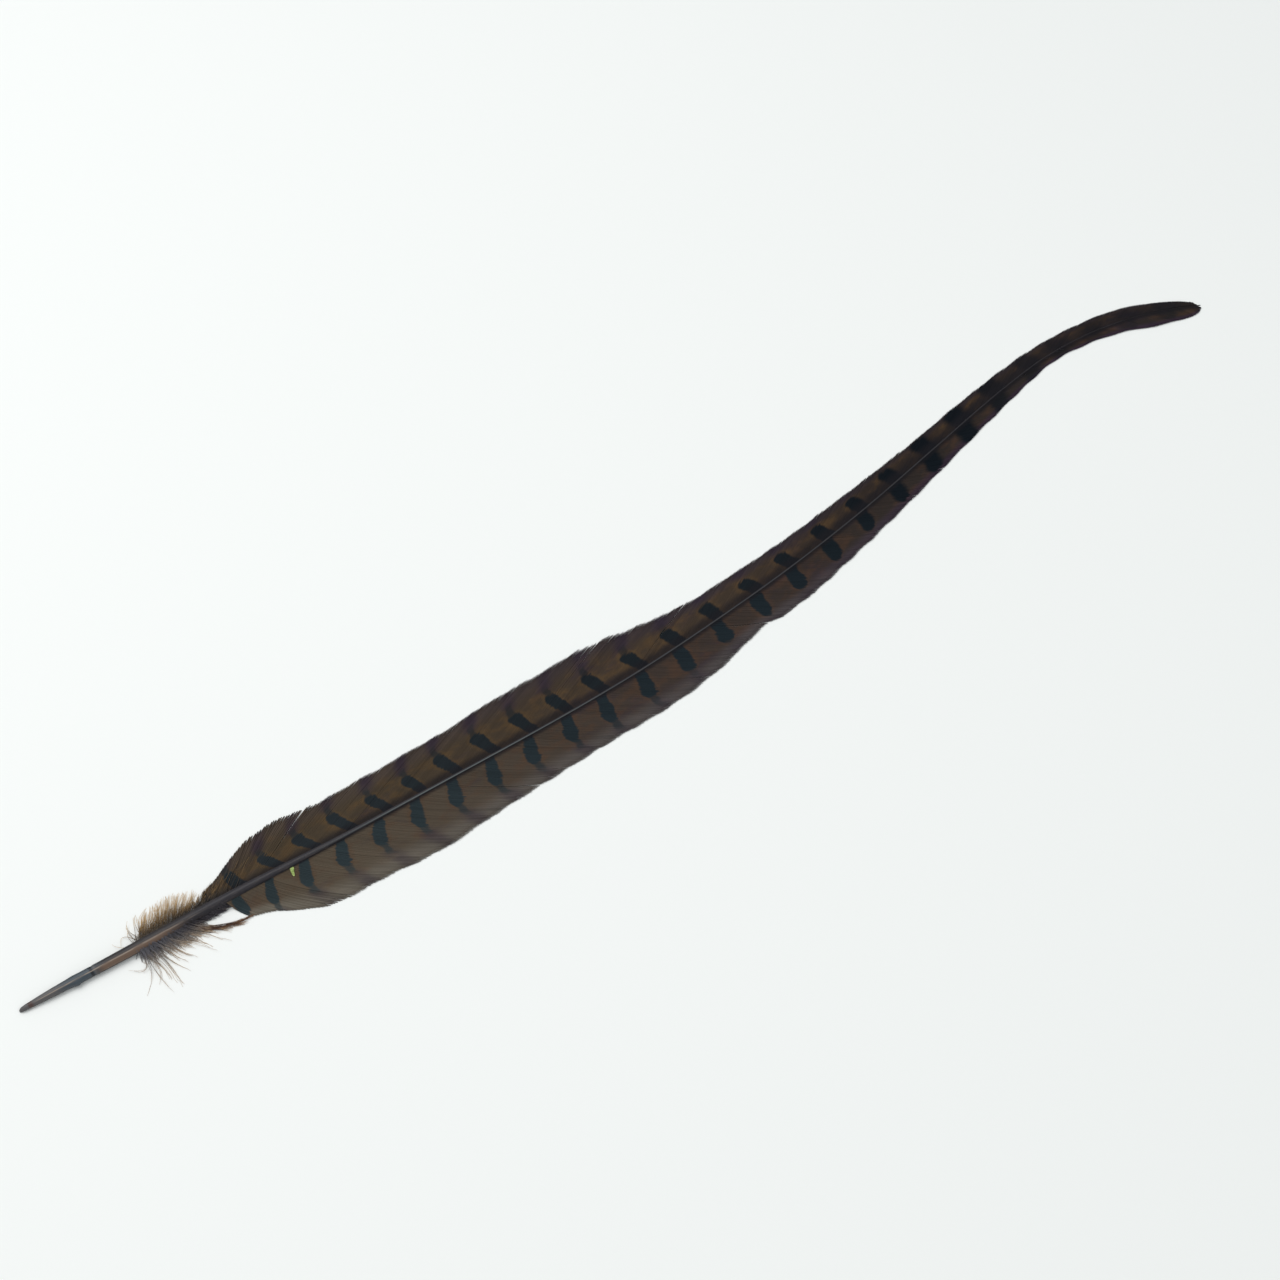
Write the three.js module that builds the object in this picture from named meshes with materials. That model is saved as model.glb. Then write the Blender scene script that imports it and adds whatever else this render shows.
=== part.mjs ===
// A long barred tail feather, lying on a table with its best side up.
// Millimetres. X runs from the quill's end to the tip, Z is up, and the table is z = 0.
// Every outline below is measured from the quill's end, and the whole feather is centred at the end.
import * as THREE from 'three';
import { mergeVertices } from 'three/addons/utils/BufferGeometryUtils.js';

// Driving dimensions
const LENGTH = 550;
const GAP = 0.3;            // room left between the shaft and what grows from it
const VANE_THICKNESS = 0.6;
const VANE_ROOT = 0.58;     // height of a vane's root, as a share of the shaft's thickness
const LANDING = 0.6;        // share of a vane's width where its underside comes down on the table

// The middle line of the shaft, seen from above: [x, y]
const SHAFT_LINE = [
  [-1, -0.4], [45, -4.2], [90, -7.2], [128, -10.2], [175, -13.0], [230, -16.2], [265, -17.0],
  [300, -15.8], [340, -12.9], [380, -7.8], [420, -0.8], [455, 5.3], [482, 8.2], [505, 6.9],
  [525, 2.3], [540, -3.8], [LENGTH, -9.3],
];

// The shaft's width and its thickness: [x, size]
const SHAFT_WIDTH = [
  [-1, 0.8], [0, 1.7], [3, 2.3], [17, 3.6], [45, 4.4], [60, 4.5], [75, 4.2], [90, 3.8], [110, 3.1],
  [128, 2.4], [150, 1.8], [185, 1.4], [265, 1.0], [390, 0.6], [500, 0.45], [LENGTH, 0.3],
];
const SHAFT_THICKNESS = [
  [-1, 0.8], [0, 1.7], [3, 2.3], [17, 3.5], [45, 4.3], [60, 4.4], [90, 4.1], [128, 3.2],
  [150, 2.7], [185, 2.2], [265, 1.7], [390, 1.0], [500, 0.7], [LENGTH, 0.4],
];

// The outer edge of each vane, from its foot to the tip: [x, y]
const WIDE_EDGE = [
  [89.5, -18.2], [94, -20.2], [100, -23.2], [111, -29.8], [122, -33.1], [138, -34.2],
  [153, -36.3], [168, -37.3], [190, -36.4], [240, -36.4], [268, -37.0], [284, -35.7],
  [300, -32.8], [315, -28.9], [325, -29.5], [343, -27.6], [371, -21.8], [400, -15.0],
  [432, -6.8], [464, 0.9], [484, 4.6], [500, 3.4], [515, -0.4], [530, -7.2], [541, -11.2],
  [547, -12.0], [LENGTH, -10.6],
];
const NARROW_EDGE = [
  [79, 2.2], [86, 4.6], [92, 7.6], [98, 10.4], [106, 12.2], [116, 12.4], [128, 9.8], [145, 8.6],
  [165, 7.6], [190, 6.9], [212, 7.4], [232, 6.2], [246, 6.4], [262, 4.2], [278, 1.0], [298, -1.5],
  [320, -1.2], [345, -0.2], [380, 3.2], [415, 7.4], [450, 12.6], [478, 15.2], [500, 14.4],
  [520, 10.6], [534, 4.6], [544, -2.0], [LENGTH, -7.6],
];

// Where the barbs at each vane's foot and tip leave the shaft, and how far towards the tip a barb
// reaches between its root and its end: [root x, reach]
const WIDE_REACH = [
  [84, 5.5], [90, 12], [100, 22], [125, 31], [150, 32], [200, 29], [260, 26], [300, 20], [340, 19],
  [380, 15], [440, 13], [500, 10], [530, 6], [LENGTH - 1, 1],
];
const NARROW_REACH = [
  [74, 5], [80, 10], [90, 24], [110, 38], [150, 44], [200, 46], [250, 38], [280, 29],
  [330, 26], [400, 22], [450, 17], [500, 12], [530, 7], [LENGTH - 1, 1],
];

// The down and the loose strand: root line on the shaft, and the line through the tips
const WIDE_DOWN = {
  root: [[46.5, -6.9], [53, -7.4], [60, -7.8], [66, -8.2]],
  tips: [[39.5, -10], [41.5, -23.5], [50, -28.4], [58, -27], [67, -23.5], [77, -25], [80.5, -20.2]],
  thickness: [3.2, 0.8],
};
const NARROW_DOWN = {
  root: [[47, -1.7], [56, -2.2], [64, -2.8], [72, -3.4]],
  tips: [[40.5, 4], [46, 7.6], [56, 9.2], [66, 8.2], [76, 4.6]],
  thickness: [3.0, 0.8],
};
const LOOSE_BARBS = {
  inner: [[71.5, -10.6], [75.5, -13.0], [80.5, -15.4], [85, -17.1], [88.7, -18.3]],
  outer: [[70.9, -11.1], [75, -14.2], [80, -16.6], [84.6, -18.0], [88.5, -18.8]],
  thickness: [0.9, 0.7],
};

// Mesh fineness
const SHAFT_SIDES = 12;
const SHAFT_STEPS = 90;
const VANE_STEPS = 84;
const VANE_COLUMNS = 6;
const TUFT_STEPS = 14;
const TUFT_COLUMNS = 4;

/** A smooth function of x through hand-placed points [x, value]. */
function smooth(points) {
  const slope = (i) => {
    const [before, after] = [points[Math.max(i - 1, 0)], points[Math.min(i + 1, points.length - 1)]];
    return (after[1] - before[1]) / (after[0] - before[0]);
  };
  return (x) => {
    const next = points.findIndex((p) => p[0] > x);
    const i = next < 0 ? points.length - 2 : Math.max(next - 1, 0);
    const [[x0, y0], [x1, y1]] = [points[i], points[i + 1]];
    const span = x1 - x0;
    const t = THREE.MathUtils.clamp((x - x0) / span, 0, 1);
    const startPull = span * slope(i) * t * (1 - t) ** 2;
    const endPull = span * slope(i + 1) * t * t * (1 - t);
    return y0 + (y1 - y0) * t * t * (3 - 2 * t) + startPull - endPull;
  };
}

const shaftY = smooth(SHAFT_LINE);
const shaftWidth = smooth(SHAFT_WIDTH);
const shaftThickness = smooth(SHAFT_THICKNESS);

/**
 * A closed mesh from rings of points, which turn the way a right-hand screw moves along X. Each ring
 * joins the next one, and a strip between its two halves closes each end.
 */
function loft(rings) {
  const sides = rings[0].length;
  const index = [];
  for (let i = 0; i < rings.length - 1; i += 1) {
    for (let j = 0; j < sides; j += 1) {
      const a = i * sides + j;
      const b = i * sides + ((j + 1) % sides);
      index.push(a, b, a + sides, b, b + sides, a + sides);
    }
  }
  const end = (rings.length - 1) * sides;
  for (let j = 0; j < sides / 2 - 1; j += 1) {
    const [a, b, c, d] = [j, j + 1, sides - 2 - j, sides - 1 - j];
    index.push(a, c, b, a, d, c);
    index.push(end + a, end + b, end + c, end + a, end + c, end + d);
  }
  const geometry = new THREE.BufferGeometry();
  const position = new THREE.Float32BufferAttribute(rings.flat(2), 3);
  geometry.setAttribute('position', position);
  geometry.setIndex(index);
  return mergeVertices(geometry, 1e-4);
}

/** Quill and rachis: a tapered rod that lies on the table along its whole length. */
function shaftGeometry() {
  const rings = [];
  for (let i = 0; i <= SHAFT_STEPS; i += 1) {
    const share = i / SHAFT_STEPS;
    const x = -1 + (LENGTH + 1) * share ** 1.35;
    const [width, thickness, y] = [shaftWidth(x), shaftThickness(x), shaftY(x)];
    const ring = [];
    for (let j = 0; j < SHAFT_SIDES; j += 1) {
      const turn = (2 * Math.PI * j) / SHAFT_SIDES;
      ring.push([x, y + (width / 2) * Math.sin(turn), (thickness / 2) * (1 - Math.cos(turn))]);
    }
    rings.push(ring);
  }
  return loft(rings);
}

/**
 * A thin web between an inner and an outer line. Each rung runs from inner(t) to outer(t), starts
 * at height rise(t) above the table and comes down on it at the landing.
 */
function webGeometry(inner, outer, rise, thickness, steps, columns, flip) {
  const rings = [];
  for (let i = 0; i <= steps; i += 1) {
    const t = i / steps;
    const [from, to] = [inner(t), outer(t)];
    const under = [];
    const over = [];
    for (let j = 0; j <= columns; j += 1) {
      const f = j / columns;
      const x = THREE.MathUtils.lerp(from[0], to[0], f);
      const y = THREE.MathUtils.lerp(from[1], to[1], f);
      const z = rise(t) * Math.max(0, 1 - f / LANDING) ** 2;
      under.push([x, y, z]);
      over.unshift([x, y, z + thickness(f)]);
    }
    rings.push(flip ? [...under, ...over].reverse() : [...under, ...over]);
  }
  return loft(rings);
}

/** One vane. side is -1 for the wide vane and 1 for the narrow one. */
function vaneGeometry(edge, reach, side) {
  const edgeY = smooth(edge);
  const reachAt = smooth(reach);
  const [first, last] = [reach[0][0], reach[reach.length - 1][0]];
  const rootX = (t) => THREE.MathUtils.lerp(first, last, t ** 1.15);
  const besideShaft = (x) => shaftY(x) + side * (shaftWidth(x) / 2 + GAP);
  const inner = (t) => [rootX(t), besideShaft(rootX(t))];
  const outer = (t) => {
    const x = rootX(t) + reachAt(rootX(t));
    return [x, edgeY(x)];
  };
  const rise = (t) => VANE_ROOT * shaftThickness(rootX(t));
  return webGeometry(inner, outer, rise, () => VANE_THICKNESS, VANE_STEPS, VANE_COLUMNS, side < 0);
}

/** A point at share t of the way along a smooth line through points. */
function lineThrough(points) {
  const curve = new THREE.SplineCurve(points.map((p) => new THREE.Vector2(...p)));
  return (t) => curve.getPoint(t).toArray();
}

/** A tuft of down: a low wedge from its roots on the shaft out to the tips of the down. */
function downGeometry({ root, tips, thickness }, flip) {
  const deep = (f) => THREE.MathUtils.lerp(thickness[0], thickness[1], f);
  return webGeometry(lineThrough(root), lineThrough(tips), () => 0.6, deep,
    TUFT_STEPS, TUFT_COLUMNS, flip);
}

/** The strand of barbs that has come away from the foot of the wide vane. */
function looseBarbGeometry({ inner, outer, thickness }) {
  const deep = (f) => THREE.MathUtils.lerp(thickness[0], thickness[1], f);
  return webGeometry(lineThrough(inner), lineThrough(outer), () => 0, deep, TUFT_STEPS, 1, true);
}

/** A named mesh with its own matt finish. */
function piece(name, geometry, color, roughness) {
  const material = new THREE.MeshStandardMaterial({ color, roughness, metalness: 0 });
  const mesh = new THREE.Mesh(geometry, material);
  mesh.name = name;
  return mesh;
}

const feather = new THREE.Group();
feather.add(piece('shaft', shaftGeometry(), 0x3a2f2a, 0.4));
feather.add(piece('wide_vane', vaneGeometry(WIDE_EDGE, WIDE_REACH, -1), 0x54412f, 0.7));
feather.add(piece('narrow_vane', vaneGeometry(NARROW_EDGE, NARROW_REACH, 1), 0x5a4128, 0.7));
feather.add(piece('wide_side_down', downGeometry(WIDE_DOWN, true), 0x7a6a58, 0.9));
feather.add(piece('narrow_side_down', downGeometry(NARROW_DOWN, false), 0x7a6a58, 0.9));
feather.add(piece('loose_barbs', looseBarbGeometry(LOOSE_BARBS), 0x4a3629, 0.7));

// The origin goes under the middle of the feather's box
const middle = new THREE.Box3().setFromObject(feather).getCenter(new THREE.Vector3());
feather.position.set(-middle.x, -middle.y, 0);
feather.updateMatrixWorld(true);

export default feather;
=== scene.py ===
# %% [markdown]
# # A pheasant's tail feather
#
# A long barred tail feather lies flat on a pale table, best side up. It has a bare horn quill that
# runs on as a thin shaft, a wide vane and a narrow vane of many hundred barbs each, down at their foot,
# and one strand of barbs that has come loose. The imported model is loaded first, and the pieces made
# here take the places of its nodes. Blender works in metres, but a feather is easier to think about in
# millimetres, so most sizes below are in millimetres from the quill's end, and `MM` turns them into
# metres.

# %% Load the frame
import math

import bpy
import numpy as np
from mathutils import Matrix, Vector


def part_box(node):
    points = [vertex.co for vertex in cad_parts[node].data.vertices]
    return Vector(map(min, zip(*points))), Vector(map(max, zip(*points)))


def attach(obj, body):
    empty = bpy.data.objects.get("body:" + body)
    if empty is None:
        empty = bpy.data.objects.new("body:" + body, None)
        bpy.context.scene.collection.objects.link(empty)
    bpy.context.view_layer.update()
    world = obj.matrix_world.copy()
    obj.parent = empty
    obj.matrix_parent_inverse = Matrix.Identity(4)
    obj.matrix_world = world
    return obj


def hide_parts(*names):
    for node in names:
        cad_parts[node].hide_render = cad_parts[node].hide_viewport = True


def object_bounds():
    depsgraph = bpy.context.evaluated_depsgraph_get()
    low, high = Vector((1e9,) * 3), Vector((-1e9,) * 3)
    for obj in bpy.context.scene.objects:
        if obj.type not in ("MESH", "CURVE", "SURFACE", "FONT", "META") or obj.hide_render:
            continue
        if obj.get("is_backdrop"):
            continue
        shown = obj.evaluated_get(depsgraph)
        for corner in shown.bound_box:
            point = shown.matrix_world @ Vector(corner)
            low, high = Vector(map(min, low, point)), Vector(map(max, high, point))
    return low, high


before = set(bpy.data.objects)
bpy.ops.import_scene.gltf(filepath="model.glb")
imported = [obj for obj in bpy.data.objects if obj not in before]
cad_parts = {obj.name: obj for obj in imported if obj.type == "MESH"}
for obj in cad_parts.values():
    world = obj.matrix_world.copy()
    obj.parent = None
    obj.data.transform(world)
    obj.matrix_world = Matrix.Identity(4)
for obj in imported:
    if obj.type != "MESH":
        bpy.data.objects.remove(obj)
CAD_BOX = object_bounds()
MM = 0.001
print("nodes in the packed model:", len(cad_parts))
print("CAD box, mm:", [round(v / MM, 1) for corner in CAD_BOX for v in corner])

# %% [markdown]
# ## The outlines
#
# A vane's edge isn't a circle or a straight line, so each outline is a few listed points with
# a smooth line through them. `smooth` gives that line as a function of x: a cubic between each pair
# of points, whose slope at a point is the slope between its two neighbours. The imported model was drawn
# with the same function, so the barbs fill the space that its thin solids hold.

# %% Smooth lines
def smooth(points):
    """A smooth function of x through given points (x, value)."""
    px = np.array([p[0] for p in points], float)
    py = np.array([p[1] for p in points], float)
    before = np.maximum(np.arange(len(px)) - 1, 0)
    after = np.minimum(np.arange(len(px)) + 1, len(px) - 1)
    slope = (py[after] - py[before]) / (px[after] - px[before])

    def value(x):
        x = np.asarray(x, float)
        i = np.clip(np.searchsorted(px, x, side="right") - 1, 0, len(px) - 2)
        span = px[i + 1] - px[i]
        t = np.clip((x - px[i]) / span, 0, 1)
        level = py[i] + (py[i + 1] - py[i]) * t * t * (3 - 2 * t)
        pull = slope[i] * t * (1 - t) ** 2 - slope[i + 1] * t * t * (1 - t)
        return level + span * pull

    return value


print("halfway up a smooth line from (0, 0) to (1, 1):", float(smooth([(0, 0), (1, 1)])(0.5)))

# %% The feather's own sizes, mm
LENGTH = 550.0
START = -1.0                 # the quill's blunt end begins this far before zero
shaft_y = smooth([
    (START, -0.4), (45, -4.2), (90, -7.2), (128, -10.2), (175, -13.0), (230, -16.2), (265, -17.0),
    (300, -15.8), (340, -12.9), (380, -7.8), (420, -0.8), (455, 5.3), (482, 8.2), (505, 6.9),
    (525, 2.3), (540, -3.8), (LENGTH, -9.3),
])
shaft_width = smooth([
    (START, 0.8), (0, 1.7), (3, 2.3), (17, 3.6), (45, 4.4), (60, 4.5), (75, 4.2), (90, 3.8),
    (110, 3.1), (128, 2.4), (150, 1.8), (185, 1.4), (265, 1.0), (390, 0.6), (500, 0.45),
    (LENGTH, 0.3),
])
shaft_thickness = smooth([
    (START, 0.8), (0, 1.7), (3, 2.3), (17, 3.5), (45, 4.3), (60, 4.4), (90, 4.1), (128, 3.2),
    (150, 2.7), (185, 2.2), (265, 1.7), (390, 1.0), (500, 0.7), (LENGTH, 0.4),
])
wide_edge = smooth([
    (89.5, -18.2), (94, -20.2), (100, -23.2), (111, -29.8), (122, -33.1), (138, -34.2),
    (153, -36.3), (168, -37.3), (190, -36.4), (240, -36.4), (268, -37.0), (284, -35.7),
    (300, -32.8), (315, -28.9), (325, -29.5), (343, -27.6), (371, -21.8), (400, -15.0),
    (432, -6.8), (464, 0.9), (484, 4.6), (500, 3.4), (515, -0.4), (530, -7.2), (541, -11.2),
    (547, -12.0), (LENGTH, -10.6),
])
narrow_edge = smooth([
    (79, 2.2), (86, 4.6), (92, 7.6), (98, 10.4), (106, 12.2), (116, 12.4), (128, 9.8), (145, 8.6),
    (165, 7.6), (190, 6.9), (212, 7.4), (232, 6.2), (246, 6.4), (262, 4.2), (278, 1.0),
    (298, -1.5), (320, -1.2), (345, -0.2), (380, 3.2), (415, 7.4), (450, 12.6), (478, 15.2),
    (500, 14.4), (520, 10.6), (534, 4.6), (544, -2.0), (LENGTH, -7.6),
])

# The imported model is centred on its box, so the outlines are moved to where its shaft really is
along_shaft = np.linspace(START, LENGTH, 1200)
shaft_low = float(np.min(shaft_y(along_shaft) - shaft_width(along_shaft) / 2))
SHIFT = np.array([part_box("shaft")[0][0] / MM - START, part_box("shaft")[0][1] / MM - shaft_low, 0])
print("quill's end in the packed model's frame, mm:", SHIFT.round(2))


def placed(points):
    """Points in mm from the quill's end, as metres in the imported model's frame."""
    return (np.asarray(points, float) + SHIFT) * MM


# %% [markdown]
# ## The camera, the table and the light
#
# The camera looks down at the feather from the side of the wide vane. Its aim, distance, height above
# the table, turn and roll are plain numbers, and the rest follows from them. The table is one flat
# pale sheet, wide enough to fill the picture from above, and in low views its far edge shows. Two big
# soft lamps and a pale sky leave only a faint shadow.

# %% Camera
AIM = (272.8, -4.5, 0.0)     # on the table, mm from the quill's end
DISTANCE = 964.0             # mm
ELEVATION = 57.55            # degrees above the table
AZIMUTH = 23.1               # degrees from +Y towards +X, the way the camera looks
ROLL = -11.93                # degrees
LENS = 68.9                  # mm
SENSOR = 36.0                # mm
NEAREST = 0.01               # m, the camera sees nothing nearer than this


def new_object(name, data):
    """An object in the scene for a mesh, a lamp or a camera."""
    made = bpy.data.objects.new(name, data)
    bpy.context.scene.collection.objects.link(made)
    return made


def make_camera():
    """The camera, looking at AIM from the distance and angles above."""
    up, turn = math.radians(ELEVATION), math.radians(AZIMUTH)
    look = Vector((math.sin(turn) * math.cos(up), math.cos(turn) * math.cos(up), -math.sin(up)))
    facing = look.to_track_quat("-Z", "Y").to_matrix().to_4x4()
    data = bpy.data.cameras.new("camera")
    data.lens = LENS
    data.sensor_width = SENSOR
    data.clip_start = NEAREST
    made = new_object("camera", data)
    place = Matrix.Translation(Vector(placed(AIM)) - look * DISTANCE * MM)
    made.matrix_world = place @ facing @ Matrix.Rotation(math.radians(ROLL), 4, "Z")
    bpy.context.scene.camera = made
    return made


camera = make_camera()
print("camera at, m:", [round(v, 3) for v in camera.location])

# %% Table
TABLE_SIZE = 12.0            # m
PALE = (0.90, 0.915, 0.885, 1)


def new_finish(name, roughness, specular, sheen=0.0):
    """A material, its node tree and its shader."""
    finish = bpy.data.materials.new(name)
    finish.use_nodes = True
    shader = finish.node_tree.nodes["Principled BSDF"]
    shader.inputs["Roughness"].default_value = roughness
    shader.inputs["Specular IOR Level"].default_value = specular
    shader.inputs["Sheen Weight"].default_value = sheen
    return finish, finish.node_tree, shader


def make_table():
    """The pale sheet that the feather lies on."""
    bpy.ops.mesh.primitive_plane_add(size=TABLE_SIZE)
    table = bpy.context.object
    table.name = "table"
    finish, _, shader = new_finish("pale_table", roughness=0.7, specular=0.2)
    shader.inputs["Base Color"].default_value = PALE
    table.data.materials.append(finish)
    table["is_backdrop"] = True


make_table()
print("table:", TABLE_SIZE, "m square")

# %% Lights
SKY = (0.93, 0.96, 1.0, 1)
SKY_STRENGTH = 0.51


def soft_light(name, size, place, power):
    """A square lamp at place that faces the middle of the feather, in metres and watts."""
    data = bpy.data.lights.new(name, "AREA")
    data.size = size
    data.energy = power
    facing = (-Vector(place)).to_track_quat("-Z", "Y").to_matrix().to_4x4()
    new_object(name, data).matrix_world = Matrix.Translation(place) @ facing


def make_sky():
    """An even pale light from all round."""
    world = bpy.data.worlds.new("studio")
    world.use_nodes = True
    background = world.node_tree.nodes["Background"]
    background.inputs["Color"].default_value = SKY
    background.inputs["Strength"].default_value = SKY_STRENGTH
    bpy.context.scene.world = world


soft_light("key", size=1.2, place=(-0.5, 0.7, 1.5), power=16)
soft_light("fill", size=2.0, place=(0.6, -1.2, 1.8), power=9.5)
make_sky()
bpy.context.scene.view_settings.view_transform = "Standard"
print("lights: key, fill and the sky")

# %% [markdown]
# ## Small helpers for node trees
#
# Every finish and every repeated piece below is a node tree built in code. Written out in full, a tree
# is mostly the same four lines again and again, so `node` makes one node, gives its sockets their
# values or links, and hands it back. The others are short forms for what comes up most: sums on
# numbers and vectors, a smooth step between two values, a blend of two colours, and cloudy noise.

# %% Node helpers
def node(tree, kind, sockets=None, **settings):
    """A node of this kind. sockets maps a socket's name or number to a value or another socket."""
    made = tree.nodes.new(kind)
    for key, value in settings.items():
        setattr(made, key, value)
    for key, value in (sockets or {}).items():
        if isinstance(value, bpy.types.NodeSocket):
            tree.links.new(value, made.inputs[key])
        else:
            made.inputs[key].default_value = value
    return made


def calc(tree, operation, *values):
    """One sum on numbers."""
    sockets = dict(enumerate(values))
    return node(tree, "ShaderNodeMath", sockets, operation=operation).outputs[0]


def times(tree, first, *others):
    """Numbers multiplied together."""
    for value in others:
        first = calc(tree, "MULTIPLY", first, value)
    return first


def plus(tree, first, *others):
    """Numbers added together."""
    for value in others:
        first = calc(tree, "ADD", first, value)
    return first


def rest_of_one(tree, value):
    """What is left when a number is taken from 1."""
    return calc(tree, "SUBTRACT", 1.0, value)


def move(tree, operation, *values):
    """One sum on vectors."""
    sockets = dict(enumerate(values))
    return node(tree, "ShaderNodeVectorMath", sockets, operation=operation).outputs[0]


def scaled(tree, vector, factor):
    """A vector times a number."""
    return node(tree, "ShaderNodeVectorMath", {0: vector, "Scale": factor},
                operation="SCALE").outputs[0]


def joined(tree, x=0.0, y=0.0, z=0.0):
    """A vector from its three numbers."""
    return node(tree, "ShaderNodeCombineXYZ", {0: x, 1: y, 2: z}).outputs[0]


def parts(tree, vector):
    """The three numbers of a vector."""
    return tuple(node(tree, "ShaderNodeSeparateXYZ", {0: vector}).outputs)


# %% Steps, blends and noise
def between(tree, value, low, high):
    """0 below low, 1 above high, and a smooth step between them. high may be under low."""
    return node(tree, "ShaderNodeMapRange", {"Value": value, "From Min": low, "From Max": high},
                interpolation_type="SMOOTHSTEP").outputs[0]


def mix_of(tree, share, low, high):
    """A number that goes from low to high as share goes from 0 to 1."""
    return node(tree, "ShaderNodeMix", {0: share, 2: low, 3: high}).outputs[0]


def blend(tree, share, low, high):
    """A colour that goes from low to high as share goes from 0 to 1."""
    return node(tree, "ShaderNodeMix", {"Factor": share, 6: low, 7: high}, data_type="RGBA").outputs[2]


def noise(tree, place, scale, detail, roughness=0.5):
    """Cloudy noise, as one number and as three."""
    sockets = {"Vector": place, "Scale": scale, "Detail": detail, "Roughness": roughness}
    return tuple(node(tree, "ShaderNodeTexNoise", sockets).outputs)


def srgb(red, green, blue):
    """A screen colour, 0 to 255, as the linear colour that shaders use."""
    return tuple(((c / 255 + 0.055) / 1.055) ** 2.4 for c in (red, green, blue)) + (1,)


print("helpers ready; mid grey in linear light:", round(srgb(128, 128, 128)[0], 3))

# %% [markdown]
# ## One barb, many times
#
# A vane isn't a sheet: it is a row of thin barbs side by side, each springing from the shaft and bending
# towards the tip, held together by hooks too small to see. It could be one sheet with a striped
# texture, but then its edge, its splits and its gloss would all be painted on. Here a Geometry Nodes
# tree grows every barb. It takes one seed for each barb, which carries where the barb starts, which
# way it bends and where it ends. It puts a short line on each seed, bends it, lets it come down on the
# table, and wraps it in a flat four-sided skin with a ridge. Each barb also keeps its place as
# attributes, for the markings.

# %% Tree helpers
def new_tree(name, inputs):
    """An empty Geometry Nodes tree with named inputs: (name, socket type, default)."""
    tree = bpy.data.node_groups.new(name, "GeometryNodeTree")
    face = tree.interface
    face.new_socket("Geometry", in_out="OUTPUT", socket_type="NodeSocketGeometry")
    face.new_socket("Seeds", in_out="INPUT", socket_type="NodeSocketGeometry")
    for label, kind, default in inputs:
        socket = face.new_socket(label, in_out="INPUT", socket_type=kind)
        if default is not None:
            socket.default_value = default
    return tree, tree.nodes.new("NodeGroupInput").outputs


def close_tree(tree, geometry, finish):
    """Ends a tree: its instances become real mesh, which gets its finish."""
    made = node(tree, "GeometryNodeSetMaterial",
                {"Geometry": realized(tree, geometry), "Material": finish}).outputs[0]
    tree.links.new(made, tree.nodes.new("NodeGroupOutput").inputs[0])


def realized(tree, geometry):
    """Instances as geometry of their own."""
    return node(tree, "GeometryNodeRealizeInstances", {"Geometry": geometry}).outputs[0]


def named(tree, name, kind="FLOAT"):
    """Reads an attribute of the seeds."""
    return node(tree, "GeometryNodeInputNamedAttribute", {"Name": name}, data_type=kind).outputs[0]


def keep(tree, geometry, name, value):
    """Stores a number on the geometry's points under this name."""
    sockets = {"Geometry": geometry, "Name": name, "Value": value}
    return node(tree, "GeometryNodeStoreNamedAttribute", sockets, data_type="FLOAT",
                domain="POINT").outputs[0]


def put_at(tree, geometry, place):
    """Moves each point to its place."""
    return node(tree, "GeometryNodeSetPosition", {"Geometry": geometry, "Position": place}).outputs[0]


def skinned(tree, lines, section, radius):
    """Wraps lines in a closed skin with this section, made as large as radius says."""
    sockets = {"Curve": lines, "Profile Curve": section, "Scale": radius, "Fill Caps": True}
    return node(tree, "GeometryNodeCurveToMesh", sockets).outputs[0]


def position(tree):
    """Where each point is."""
    return node(tree, "GeometryNodeInputPosition").outputs[0]


def bent_lines(tree, seeds, steps):
    """A line on each seed, how far along it each point is, and where its bend puts that point."""
    line = node(tree, "GeometryNodeCurvePrimitiveLine").outputs[0]
    line = node(tree, "GeometryNodeResampleCurve", {"Curve": line, "Count": steps}).outputs[0]
    lines = node(tree, "GeometryNodeInstanceOnPoints", {"Points": seeds, "Instance": line}).outputs[0]
    share = node(tree, "GeometryNodeSplineParameter").outputs["Factor"]
    lines = keep(tree, realized(tree, lines), "share_of_barb", share)
    share = named(tree, "share_of_barb")
    left = rest_of_one(tree, share)
    weights = {"root": times(tree, left, left), "bend": times(tree, left, share, 2.0),
               "tip": times(tree, share, share)}
    place = (0.0, 0.0, 0.0)
    for label, weight in weights.items():
        place = move(tree, "ADD", place, scaled(tree, named(tree, label, "FLOAT_VECTOR"), weight))
    return lines, share, place


# %% Barb tree
BARB_SECTION = {"Width": 2.0, "Bottom Height": 0.45, "Top Height": 0.75}    # in the barb's radius
WAVE_FLOOR = 0.35            # noise under this lifts no barb
END_TAPER = 0.7              # how much thinner a barb is at its very end, as a share
END_POWER = 8.0              # how late along the barb that sets in


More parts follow.
